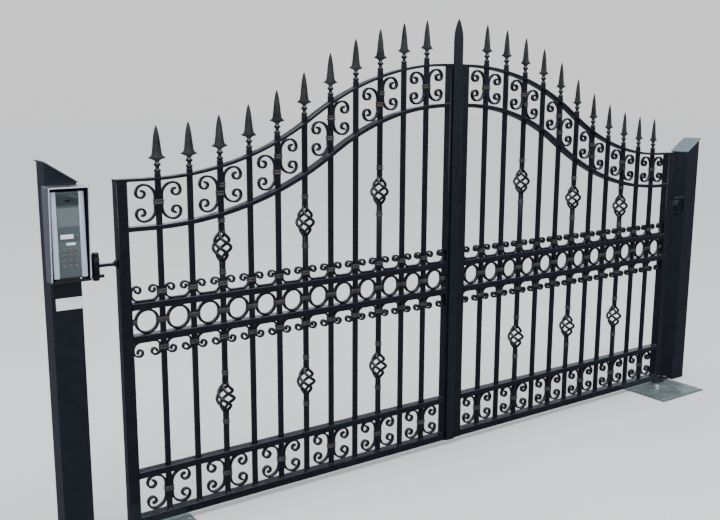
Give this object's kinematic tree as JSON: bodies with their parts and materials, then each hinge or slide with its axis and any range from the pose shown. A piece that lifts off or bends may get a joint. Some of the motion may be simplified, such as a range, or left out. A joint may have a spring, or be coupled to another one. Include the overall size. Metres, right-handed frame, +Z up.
{
  "type": "driveway gate",
  "caption": "Double-leaf wrought iron driveway gate with a swan-neck top, spearheads, scrolls, rings and twisted baskets, hung between steel posts, with an entry panel on the left post.",
  "frame": {"origin": "centre of the left post's foot face, at ground level", "axes": "+Z up, +X along the closed gate from the left post to the right post, -Y towards the street the gate is seen from, +Y into the driveway"},
  "size_m": [3.474, 0.314, 1.861],
  "materials": {
    "iron_paint": "gloss blue-black paint, wet",
    "strip_paint": "gloss blue-black paint",
    "spear_paint": "satin bronze-grey paint",
    "collar_paint": "satin pewter paint",
    "post_paint": "satin navy-black paint",
    "post_cap_paint": "gloss navy-black paint",
    "galvanised_plate": "weathered galvanised",
    "hood_steel": "satin",
    "panel_aluminium": "satin anodised",
    "camera_plastic": "gloss dark window",
    "key_steel": "satin"
  },
  "bodies": {
    "posts": {"left_post": "post_paint", "right_post": "post_paint", "left_post_cap": "post_cap_paint", "right_post_cap": "post_cap_paint", "left_hinge_bracket": "iron_paint", "right_hinge_bracket": "iron_paint", "left_operator_plate": "galvanised_plate", "right_operator_plate": "galvanised_plate", "intercom_hood": "hood_steel", "intercom_panel": "panel_aluminium", "intercom_camera": "camera_plastic", "intercom_keypad": "key_steel"},
    "left_leaf": {"left_hanging_stile": "iron_paint", "left_meeting_stile": "iron_paint", "left_top_rail": "iron_paint", "left_scroll_rail": "iron_paint", "left_straight_rails": "iron_paint", "left_bars": "iron_paint", "left_basket_bars": "iron_paint", "left_spearheads": "spear_paint", "left_top_scrolls": "iron_paint", "left_bottom_scrolls": "iron_paint", "left_rings": "iron_paint", "left_crest_scrolls": "iron_paint", "left_collars": "collar_paint", "left_hinge_eye": "iron_paint", "left_heel_arm": "iron_paint", "cover_strip": "strip_paint"},
    "right_leaf": {"right_hanging_stile": "iron_paint", "right_meeting_stile": "iron_paint", "right_top_rail": "iron_paint", "right_scroll_rail": "iron_paint", "right_straight_rails": "iron_paint", "right_bars": "iron_paint", "right_basket_bars": "iron_paint", "right_spearheads": "spear_paint", "right_top_scrolls": "iron_paint", "right_bottom_scrolls": "iron_paint", "right_rings": "iron_paint", "right_crest_scrolls": "iron_paint", "right_collars": "collar_paint", "right_hinge_eye": "iron_paint", "right_heel_arm": "iron_paint"}
  },
  "joints": [
    {"name": "left_leaf_swing", "type": "hinge", "parent": "posts", "child": "left_leaf", "pos_m": [0.102, -0.035, 0], "axis": [0, 0, 1], "range_deg": [0, 90]},
    {"name": "right_leaf_swing", "type": "hinge", "parent": "posts", "child": "right_leaf", "pos_m": [3.254, -0.035, 0], "axis": [0, 0, -1], "range_deg": [0, 90]}
  ]
}
